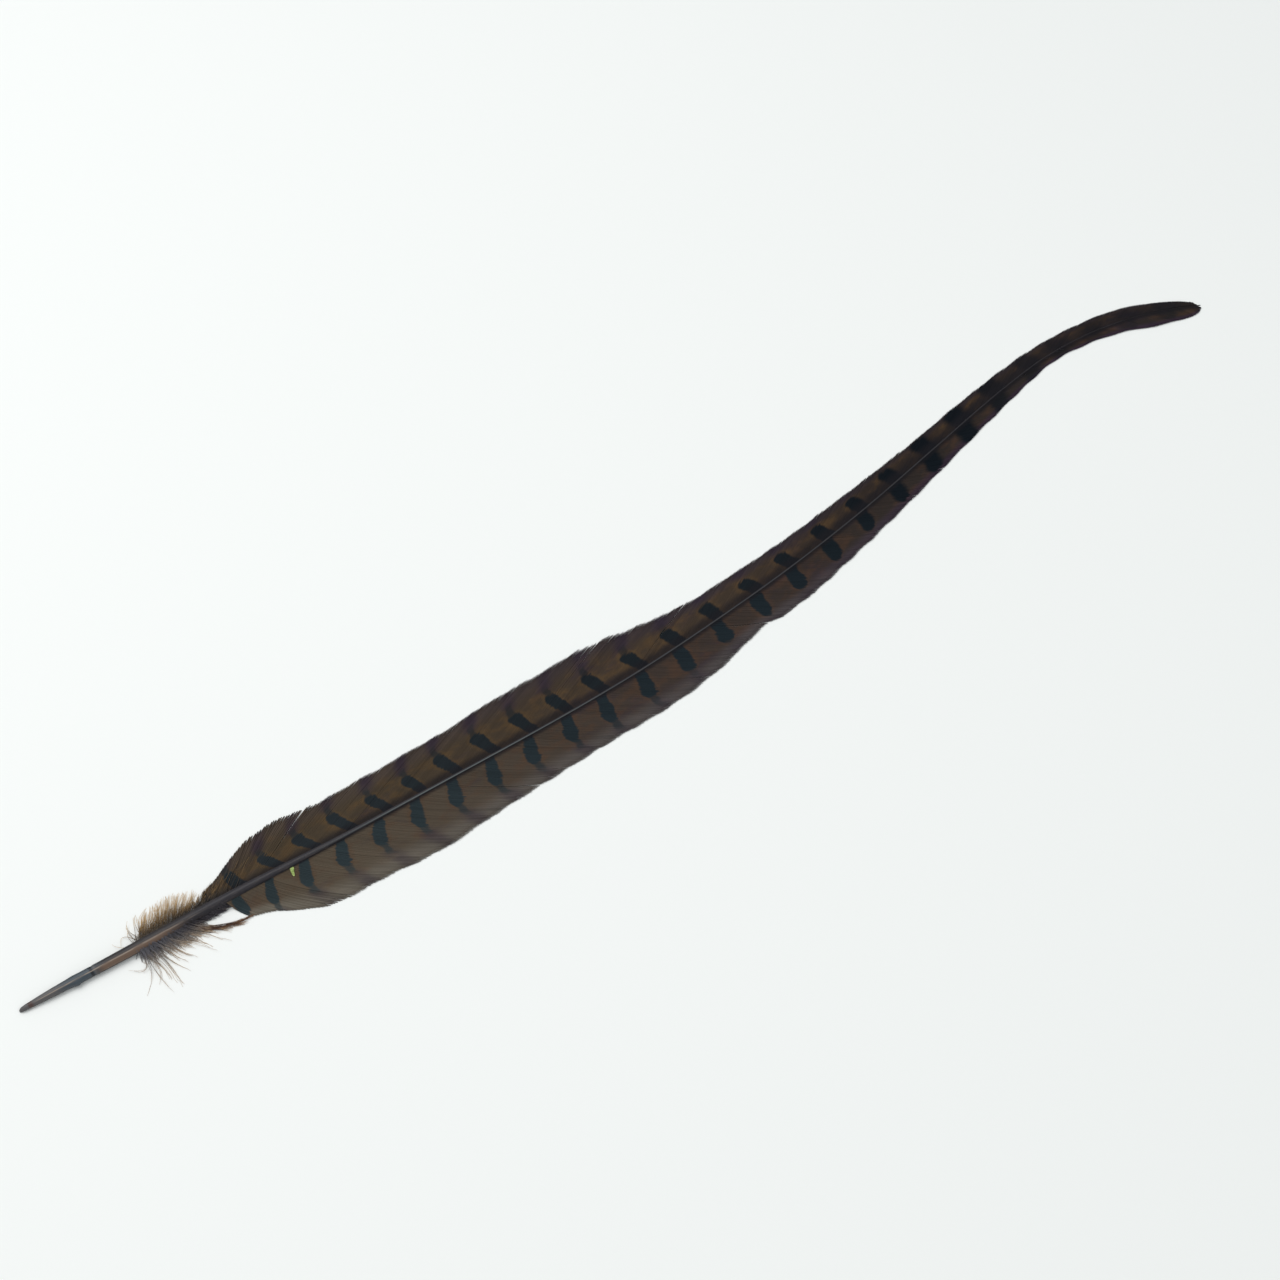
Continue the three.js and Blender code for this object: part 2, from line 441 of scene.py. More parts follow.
def barb_tree():
    """Flat barbs that come down from the shaft's side on to the table."""
    tree, given = new_tree("barbs", [
        ("Steps", "NodeSocketInt", 18), ("Landing", "NodeSocketFloat", 0.6),
        ("Wave height", "NodeSocketFloat", 0.0004), ("Wave length", "NodeSocketFloat", 0.03),
        ("Shaft line", "NodeSocketObject", None), ("Edge line", "NodeSocketObject", None),
        ("Finish", "NodeSocketMaterial", None),
    ])
    lines, share, place = bent_lines(tree, given["Seeds"], given["Steps"])

    # the barb starts high on the shaft's side, comes down at the landing, and waves a little
    fall = rest_of_one(tree, calc(tree, "DIVIDE", share, given["Landing"]))
    fall = calc(tree, "POWER", calc(tree, "MAXIMUM", fall, 0.0), 2.0)
    wave = noise(tree, place, calc(tree, "DIVIDE", 1.0, given["Wave length"]), 1.0)[0]
    wave = times(tree, calc(tree, "SUBTRACT", wave, WAVE_FLOOR), given["Wave height"], share)
    height = plus(tree, times(tree, named(tree, "rise"), fall), calc(tree, "MAXIMUM", wave, 0.0),
                  named(tree, "lift"))
    x, y, _ = parts(tree, place)
    lines = put_at(tree, lines, joined(tree, x, y, height))

    # a flat skin with a ridge, narrower towards the barb's end
    radius = mix_of(tree, share, named(tree, "root_width"), named(tree, "tip_width"))
    thinner = times(tree, calc(tree, "POWER", share, END_POWER), END_TAPER)
    radius = times(tree, radius, rest_of_one(tree, thinner))
    lines = node(tree, "GeometryNodeSetCurveNormal", {"Curve": lines}, mode="Z_UP").outputs[0]
    section = node(tree, "GeometryNodeCurvePrimitiveQuadrilateral", BARB_SECTION, mode="KITE").outputs[0]
    made = skinned(tree, lines, section, radius)

    # where each point lies on the feather, for the markings: along it, and out from the shaft
    x, y, _ = parts(tree, position(tree))
    level = joined(tree, x, y)
    away = []
    for label in ("Shaft line", "Edge line"):
        line = node(tree, "GeometryNodeObjectInfo", {"Object": given[label]}).outputs["Geometry"]
        near = node(tree, "GeometryNodeProximity", {0: line, "Sample Position": level},
                    target_element="EDGES")
        away.append(times(tree, near.outputs["Distance"], 1 / MM))
    made = keep(tree, made, "across", away[0])
    made = keep(tree, made, "share_of_vane", calc(tree, "DIVIDE", away[0], plus(tree, *away)))
    along = calc(tree, "SUBTRACT", times(tree, x, 1 / MM), float(SHIFT[0]))
    close_tree(tree, keep(tree, made, "along", along), given["Finish"])
    return tree


BARBS = barb_tree()
print("barb tree:", len(BARBS.nodes), "nodes")

# %% Growing a piece from its seeds
def seed_mesh(name, seeds):
    """A mesh of loose points, one for each seed, with the seeds' numbers as its attributes."""
    mesh = bpy.data.meshes.new(name)
    mesh.from_pydata([tuple(v) for v in seeds["root"]], [], [])
    for label, values in seeds.items():
        kind = "FLOAT_VECTOR" if np.ndim(values) == 2 else "FLOAT"
        stored = mesh.attributes.new(label, kind, "POINT")
        stored.data.foreach_set("vector" if kind == "FLOAT_VECTOR" else "value",
                                np.asarray(values, np.float32).ravel())
    return mesh


def grow(name, tree, seeds, **sizes):
    """Runs the tree on the seeds and hands back the result as one plain mesh object."""
    carrier = new_object(name + "_seeds", seed_mesh(name + "_seeds", seeds))
    modifier = carrier.modifiers.new("grow", "NODES")
    modifier.node_group = tree
    for item in tree.interface.items_tree:
        if item.in_out == "INPUT" and item.name in sizes:
            modifier[item.identifier] = sizes[item.name]
    grown = carrier.evaluated_get(bpy.context.evaluated_depsgraph_get())
    mesh = bpy.data.meshes.new_from_object(grown)
    mesh.name = name
    piece = new_object(name, mesh)
    bpy.data.objects.remove(carrier)
    mesh.calc_loop_triangles()
    print(f"{name}: {len(seeds['root'])} seeds, {len(mesh.loop_triangles)} triangles")
    return piece


def stand_in(piece, node_name):
    """The piece rides on the feather's one body and takes the place of a node."""
    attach(piece, "root")
    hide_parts(node_name)
    return piece


def guide_line(name, line, first=0):
    """A row of edges along a smooth line, from first mm on and flat on the table, to measure from."""
    x = np.arange(first, LENGTH + 1)
    points = placed(np.stack([x, line(x), np.zeros(len(x))], 1))
    mesh = bpy.data.meshes.new(name)
    mesh.from_pydata([tuple(p) for p in points], [(i, i + 1) for i in range(len(x) - 1)], [])
    return new_object(name, mesh)


print("barb tree's inputs:", [item.name for item in BARBS.interface.items_tree if item.in_out == "INPUT"])

# %% [markdown]
# ## Seeds for the vanes
#
# The seeds are where the feather's own character comes from. Each barb reaches forward by a set amount
# that is small at the foot, large in the middle and small again at the tip, and that alone gives the
# tip its point. A real vane has also been handled: its edge waves a little, its barbs hold together in
# small locks that lie a little higher or lower than the next, and here and there two locks have parted
# and left a thin V that shows the table. `WIDE_SPLITS` and `NARROW_SPLITS` list those places.

# %% Seeds of one vane
LAST_ROOT = LENGTH - 1       # mm, no barb leaves the shaft past this
ROOT_HEIGHT = 0.58           # of the shaft's thickness, where the barbs leave it
ROOT_OUT = 0.42              # of the shaft's width, from its middle to where they leave it
JITTER = 0.2                 # share of the pitch that a root may be off
SMALLEST_LOCK = 4            # barbs
LARGEST_LOCK = 13
TIP_ROOM = 2.5               # mm, the barbs of the tip end within this of the feather's end
LONGEST = 1.02               # longest barb, as a share of its set length
BEND_SHARE = 0.25            # how much of a split's opening a barb's bend follows
COVER = 0.72                 # a barb's radius, as a share of the room between barbs
WIDEST_TIP = 0.6             # mm, radius
LIFT = 0.2                   # mm, how high above the table a barb comes down
LOCK_LIFT = 0.08             # mm, and how much that differs between locks and between barbs
BARB_LIFT = 0.04
BARB_SLIP = 0.13             # mm, how far barbs and locks have slipped along the feather
LOCK_SLIP = 0.12
RIPPLE_LENGTH = 2.2          # mm for each radian of the edge's waves
DRIFT = 1.5                  # radians, how far the waves drift to and fro
DRIFT_LENGTH = 19            # mm for each radian of that
wide_reach = smooth([
    (84, 5.5), (90, 12), (100, 22), (125, 31), (150, 32), (200, 29), (260, 26), (300, 20),
    (340, 19), (380, 15), (440, 13), (500, 10), (530, 6), (LAST_ROOT, 1),
])
narrow_reach = smooth([
    (74, 5), (80, 10), (90, 24), (110, 38), (150, 44), (200, 46), (250, 38), (280, 29),
    (330, 26), (400, 22), (450, 17), (500, 12), (530, 7), (LAST_ROOT, 1),
])


def side_spacing(starts, towards):
    """How far apart neighbouring barbs lie, measured square to them."""
    step = np.gradient(starts, axis=0)
    run = towards / np.linalg.norm(towards, axis=1)[:, None]
    return np.abs(step[:, 0] * run[:, 1] - step[:, 1] * run[:, 0])


def locks_of(rng, count):
    """Which lock each barb belongs to."""
    sizes = rng.integers(SMALLEST_LOCK, LARGEST_LOCK + 1, count)
    return np.repeat(np.arange(count), sizes)[:count]


def vane_seeds(side, first, edge, reach, pitch, bow, splits, ragged, parting, ripple, seed):
    """
    Seeds of one vane, sizes in mm. side is -1 for the wide vane and 1 for the narrow one. Barbs leave
    the shaft from first on, one every pitch. bow is how far a barb bows, and ragged how much its length
    varies, as shares of its length. parting is how far the locks' ends wander along the edge, and
    ripple the height of the edge's waves. Each split is (place, opening, how far it spreads).
    """
    rng = np.random.default_rng(seed)
    x = np.arange(first, LAST_ROOT, pitch)
    count = len(x)
    lock = locks_of(rng, count)
    x = x + rng.uniform(-JITTER, JITTER, count) * pitch
    tip_x = x + reach(x) + parting * rng.normal(size=count)[lock]
    lean = np.zeros(count)
    for place, opening, spread in splits:
        away = x - place
        lean += np.sign(away) * opening / 2 * np.exp(-np.abs(away) / spread)
    tip_x = np.minimum(tip_x + lean, LENGTH - TIP_ROOM + TIP_ROOM * rng.random(count))
    root = np.stack([x, shaft_y(x) + side * shaft_width(x) * ROOT_OUT, np.zeros(count)], 1)
    wave = ripple * np.sin(tip_x / RIPPLE_LENGTH + DRIFT * np.sin(tip_x / DRIFT_LENGTH))
    tip = np.stack([tip_x, edge(tip_x) + side * wave, np.zeros(count)], 1)
    chord = tip - root
    out = np.stack([-chord[:, 1], chord[:, 0], np.zeros(count)], 1) * side
    short = 1 + ragged * (rng.normal(size=count) * 0.5 + rng.normal(size=count)[lock] * 0.5)
    tip = root + chord * np.minimum(short, LONGEST)[:, None]
    bend = (root + tip) / 2 + bow * out
    bend[:, 0] += BEND_SHARE * lean
    root_width = side_spacing(root, chord) * COVER + 0.02
    tip_width = side_spacing(tip, chord) * COVER + 0.03
    return {
        "root": placed(root), "bend": placed(bend), "tip": placed(tip),
        "rise": ROOT_HEIGHT * shaft_thickness(x) * MM,
        "lift": (LIFT + LOCK_LIFT * rng.random(count)[lock] + BARB_LIFT * rng.random(count)) * MM,
        "root_width": root_width * MM, "tip_width": np.minimum(tip_width, WIDEST_TIP) * MM,
        "tone": rng.random(count), "lock_tone": rng.random(count)[lock],
        "slip": BARB_SLIP * rng.normal(size=count) + LOCK_SLIP * rng.normal(size=count)[lock],
    }


# %% Splits, and the seeds of both vanes
# Each split: its place (x), how wide it opens, and how far that spreads
WIDE_SPLITS = [(176, 0.8, 3), (232, 0.6, 3), (298, 2.2, 2.5), (385.5, 0.7, 2), (402, 0.7, 2)]
NARROW_SPLITS = [
    (97, 1.2, 2.5), (112, 1.2, 3), (121, 0.9, 3), (152, 1.2, 3), (176, 0.9, 3),
    (214, 1.2, 3), (262, 1.0, 3), (318, 0.8, 3),
]
wide_seeds = vane_seeds(side=-1, first=84, edge=wide_edge, reach=wide_reach, pitch=0.5, bow=0.045,
                        splits=WIDE_SPLITS, ragged=0.009, parting=0.12, ripple=0.22, seed=4)
narrow_seeds = vane_seeds(side=1, first=74, edge=narrow_edge, reach=narrow_reach, pitch=0.56, bow=0.03,
                          splits=NARROW_SPLITS, ragged=0.014, parting=0.28, ripple=0.14, seed=9)
print("barbs:", len(wide_seeds["root"]), "wide,", len(narrow_seeds["root"]), "narrow")

# %% [markdown]
# ## Dyed, barred web
#
# The web is a dull brown with a row of dark blue-grey bars, and dye has tinted all of it. A bar isn't
# painted on: each barb is dark along one short stretch, and since no two barbs agree exactly, a bar's
# side is finely toothed. So every barb slips a little along the feather before its place is looked up.
# Which bar a point is on comes from a smooth line through the middles of all the bars, so that each
# bar's middle is a whole number. Most bars lean back a little away from the shaft. They end round about
# halfway out, and fade into smoky tails that run on to the margin.

# %% Where the bars are
# The middle of each dark bar of the wide vane, mm from the quill's end
BAR_MIDDLES = [
    88, 100, 114.6, 130.2, 146.2, 162, 178.3, 195, 211.8, 229, 245.3, 263.4, 281.8, 300.8, 320,
    338.2, 357.4, 376.2, 395, 414.6, 434.6, 454.4, 474, 489.5, 504.6, 520, 536,
]
which_bar = smooth([(70, -0.4), *((x, i + 1) for i, x in enumerate(BAR_MIDDLES)), (LENGTH, 28)])
LEAN_AT = 13.0               # mm from the shaft, where the lean is measured
TAIL_FROM = 1.25             # share of a bar's length, where its smoky tail starts to lean forward
TAIL_LEAN = 0.5              # mm forward for each mm outwards from there

# For each vane's bars, in mm along the feather: how far back they lean, how far they have slipped
# towards the tip, and their length. They turn about the pivot (mm from the shaft), and at the bulge
# (a share of their length) they are widest and stop leaning back.
WIDE_BARS = {
    "lean": smooth([(80, -2), (88, -1.5), (100, 4), (130, 5.5), (160, 5), (190, 4.5), (230, 3.4),
                    (300, 0.6), (400, 1)]),
    "slip": smooth([(0, 0), (LENGTH, 0)]),
    "end": smooth([(84, 10), (100, 11.3), (130, 11.3), (160, 11.9), (195, 12.5), (210, 12.2),
                   (229, 11.9), (245, 12.8), (284, 12), (302, 10.8), (358, 10.2), (396, 8.4),
                   (416, 8.4), (450, 7.8), (500, 6.5), (LENGTH, 4)]),
    "pivot": 5.2, "bulge": 0.7,
}
NARROW_BARS = {
    "lean": smooth([(88, 3), (103, 6.6), (118, 7.5), (135, 7.2), (165, 5.2), (200, 4.7), (230, 4.1),
                    (300, 4.3), (400, 5)]),
    "slip": smooth([(89, 1.5), (102, 4), (119, 4.9), (135, 5.1), (151, 4.8), (166, 4.3), (181, 3.2),
                    (215, 3), (231, 1.9), (247, 1.7), (300, 0.6), (400, 0.1)]),
    "end": smooth([(90, 10.4), (103, 10.2), (118, 10.9), (135, 12.1), (150, 11.2), (166, 10.6),
                   (182, 12.4), (200, 12.3), (217, 12.2), (250, 11.4), (268, 10.4), (288, 9.2),
                   (305, 9.2), (325, 8.4), (345, 8), (380, 7.8), (430, 8.3), (LENGTH, 4)]),
    "pivot": 7.5, "bulge": 0.8,
}


print("bars:", len(BAR_MIDDLES), "from", BAR_MIDDLES[0], "to", BAR_MIDDLES[-1], "mm")

# %% Marking the bars
def numbers(mesh, label):
    """An attribute of the mesh's points as an array."""
    values = np.empty(len(mesh.vertices), np.float32)
    mesh.attributes[label].data.foreach_get("value", values)
    return values


def put(mesh, label, values):
    """Stores an array as an attribute of the mesh's points."""
    stored = mesh.attributes.new(label, "FLOAT", "POINT")
    stored.data.foreach_set("value", np.asarray(values, np.float32))


def mark_bars(piece, lean, slip, end, pivot, bulge):
    """Gives each point its place on the row of bars, and how far out it is as a share of its bar."""
    mesh = piece.data
    along, across = numbers(mesh, "along"), numbers(mesh, "across")
    own = along + numbers(mesh, "slip") - slip(along)
    length = end(along)
    back = lean(along) / LEAN_AT * (np.minimum(across, bulge * length) - pivot)
    forward = TAIL_LEAN * np.maximum(across - TAIL_FROM * length, 0)
    put(mesh, "bar", which_bar(own + back - forward))
    put(mesh, "outward", (across + 2 * numbers(mesh, "slip")) / length)


# %% Web finish
FOOT_TO_MIDDLE = (90.0, 290.0)    # mm along the feather, where its colours change
MIDDLE_TO_TIP = (290.0, 420.0)
BAR_WIDTH = 0.172            # half a bar's width, as a share of the room between two bars' middles
# the colour of the painted shade laid on the barbs beside the shaft
SHADE_BESIDE_SHAFT = srgb(30, 29, 33)
DARKEST = 0.86               # tone of the darkest barb, then how much barbs and locks differ
BARB_TONES = 0.18
LOCK_TONES = 0.1
STREAKS = 0.22               # how much more the barbs differ at the margin


def attribute(tree, label):
    """Reads a number that the mesh carries."""
    return node(tree, "ShaderNodeAttribute", attribute_name=label,
                attribute_type="GEOMETRY").outputs["Fac"]


def web_finish(name, colours, bulge, waist, blunt, tail, neck, shade_strip):
    """
    Brown web with bars. Each colour that changes along the feather is (foot, middle, tip). Shares of a
    bar's length or width: it is widest at bulge, and waist wide at the shaft and blunt wide at its end.
    tail and neck are how strong its smoky tail and dim neck are, and the last argument is how wide the
    painted shade beside the shaft is, in mm.
    """
    finish, tree, shader = new_finish(name, roughness=0.6, specular=0.05)
    along, across, outward, bar, share, tone, lock_tone = (
        attribute(tree, label)
        for label in ("along", "across", "outward", "bar", "share_of_vane", "tone", "lock_tone"))

    def changing(label):
        """A colour that changes along the feather."""
        foot, middle, tip = colours[label]
        first = blend(tree, between(tree, along, *FOOT_TO_MIDDLE), foot, middle)
        return blend(tree, between(tree, along, *MIDDLE_TO_TIP), first, tip)

    def clouds(length, depth):
        """Soft noise in patches of this length and depth, in mm."""
        place = joined(tree, calc(tree, "DIVIDE", along, length), calc(tree, "DIVIDE", across, depth),
                       times(tree, lock_tone, 0.5))
        return noise(tree, place, 1.0, 4.0, 0.6)[0]

    # the brown ground: long clouds, small warm patches and a paler margin
    cloud = clouds(28.0, 8.0)
    ground = blend(tree, times(tree, between(tree, cloud, 0.5, 0.75), 0.5), changing("ground"),
                   colours["smoke"])
    patch = times(tree, between(tree, clouds(9.0, 5.0), 0.45, 0.7), 0.35)
    ground = blend(tree, patch, ground, colours["warm"])
    margin = times(tree, between(tree, share, 0.58, 0.9), 0.8)
    ground = blend(tree, margin, ground, changing("margin"))

    # how far from a bar's middle, with an uneven outline, and a smoky tail from each bar's end
    uneven = calc(tree, "SUBTRACT", clouds(5.0, 4.0), 0.5)
    outward = plus(tree, outward, times(tree, uneven, 0.28))
    bar = plus(tree, bar, times(tree, uneven, 0.16))
    off_bar = calc(tree, "ABSOLUTE", calc(tree, "SUBTRACT", bar, calc(tree, "ROUND", bar)))
    smoke = times(tree, between(tree, off_bar, 0.3, 0.04), between(tree, outward, 1.0, 1.4),
                  between(tree, cloud, 0.1, 0.6), between(tree, along, 430.0, 330.0), tail)
    ground = blend(tree, smoke, ground, colours["smoke"])

    # a bar's own half width: less towards the shaft, except near the tip, and less towards its end
    narrowed = times(tree, between(tree, outward, bulge, 0.1), 1 - waist,
                     between(tree, along, 360.0, 240.0))
    blunted = times(tree, between(tree, outward, bulge, 1.06), 1 - blunt)
    half = plus(tree, BAR_WIDTH, times(tree, between(tree, along, 380.0, 440.0), 0.06))
    half = times(tree, half, rest_of_one(tree, narrowed), rest_of_one(tree, blunted))
    aside = calc(tree, "DIVIDE", off_bar, half)

    # a warm rim round each bar
    rim = times(tree, between(tree, aside, 1.9, 1.0), between(tree, outward, 1.15, 0.95),
                between(tree, along, 420.0, 340.0), 0.22)
    ground = blend(tree, rim, ground, colours["warm"])

    # the bar, with a rounded end, softer and fainter towards the tip
    round_end = plus(tree, outward, times(tree, aside, aside, 0.07))
    soft = times(tree, between(tree, along, 340.0, 440.0), 0.25)
    faint = rest_of_one(tree, times(tree, between(tree, along, 425.0, 500.0), 0.6))
    inside = between(tree, aside, plus(tree, 1.17, soft), calc(tree, "SUBTRACT", 0.85, soft))
    inside = times(tree, inside, between(tree, round_end, 1.09, 0.97), faint)

    # a dim narrow neck past each bar's end
    past = times(tree, between(tree, off_bar, 0.12, 0.05), between(tree, outward, 1.5, 1.15),
                 between(tree, outward, 0.9, 1.0), between(tree, along, 310.0, 250.0), neck)
    marked = blend(tree, calc(tree, "MAXIMUM", inside, past), ground, changing("bar"))

    # painted shade: a dark strip where the barbs come out from beside the shaft
    beside = between(tree, calc(tree, "DIVIDE", across, shade_strip), 1.0, 0.35)
    marked = blend(tree, times(tree, beside, 0.75), marked, SHADE_BESIDE_SHAFT)

    # each barb and each lock has its own tone, and at the margin the barbs show as fine streaks
    streaks = times(tree, calc(tree, "SUBTRACT", tone, 0.5), margin, STREAKS)
    level = plus(tree, times(tree, tone, BARB_TONES), times(tree, lock_tone, LOCK_TONES), DARKEST,
                 streaks)
    marked = move(tree, "MULTIPLY", marked, joined(tree, level, level, level))
    tree.links.new(marked, shader.inputs["Base Color"])
    return finish


# %% Wide and narrow web
WIDE_WEB = web_finish("wide_web", {
    "ground": (srgb(90, 80, 67), srgb(61, 52, 47), srgb(48, 42, 39)),
    "margin": (srgb(110, 104, 93), srgb(81, 76, 76), srgb(54, 42, 57)),
    "bar": (srgb(48, 58, 61), srgb(30, 39, 44), srgb(15, 22, 28)),
    "warm": srgb(88, 62, 44), "smoke": srgb(56, 47, 56),
}, WIDE_BARS["bulge"], waist=0.78, blunt=0.52, tail=0.55, neck=0.75, shade_strip=2.4)
NARROW_WEB = web_finish("narrow_web", {
    "ground": (srgb(70, 60, 47), srgb(66, 55, 45), srgb(48, 40, 36)),
    "margin": (srgb(76, 66, 58), srgb(58, 51, 55), srgb(48, 42, 46)),
    "bar": (srgb(38, 44, 47), srgb(26, 32, 36), srgb(14, 20, 26)),
    "warm": srgb(100, 76, 46), "smoke": srgb(50, 41, 54),
}, NARROW_BARS["bulge"], waist=0.82, blunt=0.72, tail=0.75, neck=0.7, shade_strip=5.5)
print("web finishes:", WIDE_WEB.name, "and", NARROW_WEB.name)

# %% Grow both vanes
BARB_STEPS = 18
WIDE_FOOT = 89               # mm, where each vane's edge begins
NARROW_FOOT = 79
shaft_guide = guide_line("shaft_guide", shaft_y)
wide_guide = guide_line("wide_edge_guide", wide_edge, WIDE_FOOT)
narrow_guide = guide_line("narrow_edge_guide", narrow_edge, NARROW_FOOT)


def make_vane(name, seeds, finish, edge_guide, bars):
    """Grows one vane, marks its bars and puts it in its node's place."""
    piece = grow(name + "_barbs", BARBS, seeds, **{
        "Steps": BARB_STEPS, "Shaft line": shaft_guide, "Edge line": edge_guide, "Finish": finish})
    mark_bars(piece, **bars)
    return stand_in(piece, name)


wide_vane = make_vane("wide_vane", wide_seeds, WIDE_WEB, wide_guide, WIDE_BARS)
make_vane("narrow_vane", narrow_seeds, NARROW_WEB, narrow_guide, NARROW_BARS)

# %% [markdown]
# ## Quill and shaft
#
# The shaft is one tapered rod of horn. Its bare end, the quill, is round, with a shallow pit in its
# blunt tip, a ring where the skin held it and a small swelling just below that. Further up it carries
# the vanes and becomes squarer, with a flat top. A curve with a bevel could give the taper but not the
# changing section, so a loft is made here ring by ring. Each point of a ring keeps two numbers: how
# far along it is, and how far round from the top.

# %% Shaft mesh
SHAFT_SIDES = 28
SHAFT_RINGS = 330
CROWDING = 2.2               # how much closer the rings lie at the quill's end
SQUARE_FROM = 70             # mm, where the section starts to turn squarer
SQUARE_RUN = 60              # mm, and how far on it stops
SQUARENESS = 0.9
GRAIN = 0.006                # roughness of the horn, as a share of its radius
DIP = 0.7                    # mm, the depth of the pit in the quill's end
POINT = 0.3                  # mm, the length of the point at the tip
UNDERSIDE = 2.0              # kept on the underside, in place of how far round (-1 to 1)

# The quill's swellings and dents: how high (a share of its radius), where and how long (mm), which
# side (-1 wide, 1 narrow, 0 all round) and how closely it keeps to that side
SWELLINGS = [
    (0.05, 22, 2.5, 0, 1), (-0.06, 29.2, 0.45, 0, 1), (0.03, 30.4, 0.5, 0, 1),
    (0.3, 22, 1.2, -1, 3), (0.06, 21, 1.4, 1, 3), (-0.05, 17.2, 0.5, -1, 1),
]


def ring_at(x, rng):
    """One ring of the shaft at x, as points in mm, and how far round from the top each is."""
    turn = 2 * np.pi * np.arange(SHAFT_SIDES) / SHAFT_SIDES
    side, up = np.sin(turn), np.cos(turn)
    square = 2 + SQUARENESS * float(np.clip((x - SQUARE_FROM) / SQUARE_RUN, 0, 1))
    round_off = (np.abs(side) ** square + np.abs(up) ** square) ** (-1 / square)
    size = np.ones(SHAFT_SIDES)
    for height, place, spread, towards, keenness in SWELLINGS:
        swelling = height * np.exp(-((x - place) / spread) ** 2)
        size += swelling * np.clip(towards * side, 0, 1) ** keenness if towards else swelling
    size += GRAIN * rng.normal(size=SHAFT_SIDES)
    y = shaft_y(x) + shaft_width(x) / 2 * side * round_off * size
    z = shaft_thickness(x) / 2 * (1 + up * round_off * size)
    ring = np.stack([np.full(SHAFT_SIDES, x), y, np.maximum(z, 0)], 1)
    return ring, np.where(up > -0.2, side, UNDERSIDE)


def shaft_piece():
    """The whole shaft as one closed mesh."""
    rng = np.random.default_rng(2)
    share = np.linspace(0, 1, SHAFT_RINGS)
    stations = START + (LENGTH - START) * (0.25 * share + 0.75 * share ** CROWDING)
    rings, rounds = zip(*(ring_at(float(x), rng) for x in stations))
    faces = []
    for i in range(SHAFT_RINGS - 1):
        for j in range(SHAFT_SIDES):
            a, b = i * SHAFT_SIDES + j, i * SHAFT_SIDES + (j + 1) % SHAFT_SIDES
            faces.append((a, a + SHAFT_SIDES, b + SHAFT_SIDES, b))
    ends = [rings[0].mean(0) + (DIP, 0, 0), rings[-1].mean(0) + (POINT, 0, 0)]
    pit = SHAFT_RINGS * SHAFT_SIDES
    last = pit - SHAFT_SIDES
    for j in range(SHAFT_SIDES):
        after = (j + 1) % SHAFT_SIDES
        faces.append((pit, j, after))
        faces.append((pit + 1, last + after, last + j))
    points = np.vstack([*rings, ends])
    mesh = bpy.data.meshes.new("horn_shaft")
    mesh.from_pydata([tuple(p) for p in placed(points)], [], faces)
    mesh.polygons.foreach_set("use_smooth", [True] * len(faces))
    put(mesh, "along", points[:, 0])
    put(mesh, "round", np.append(np.concatenate(rounds), (0, 0)))
    print("shaft faces:", len(faces))
    return new_object("horn_shaft", mesh)


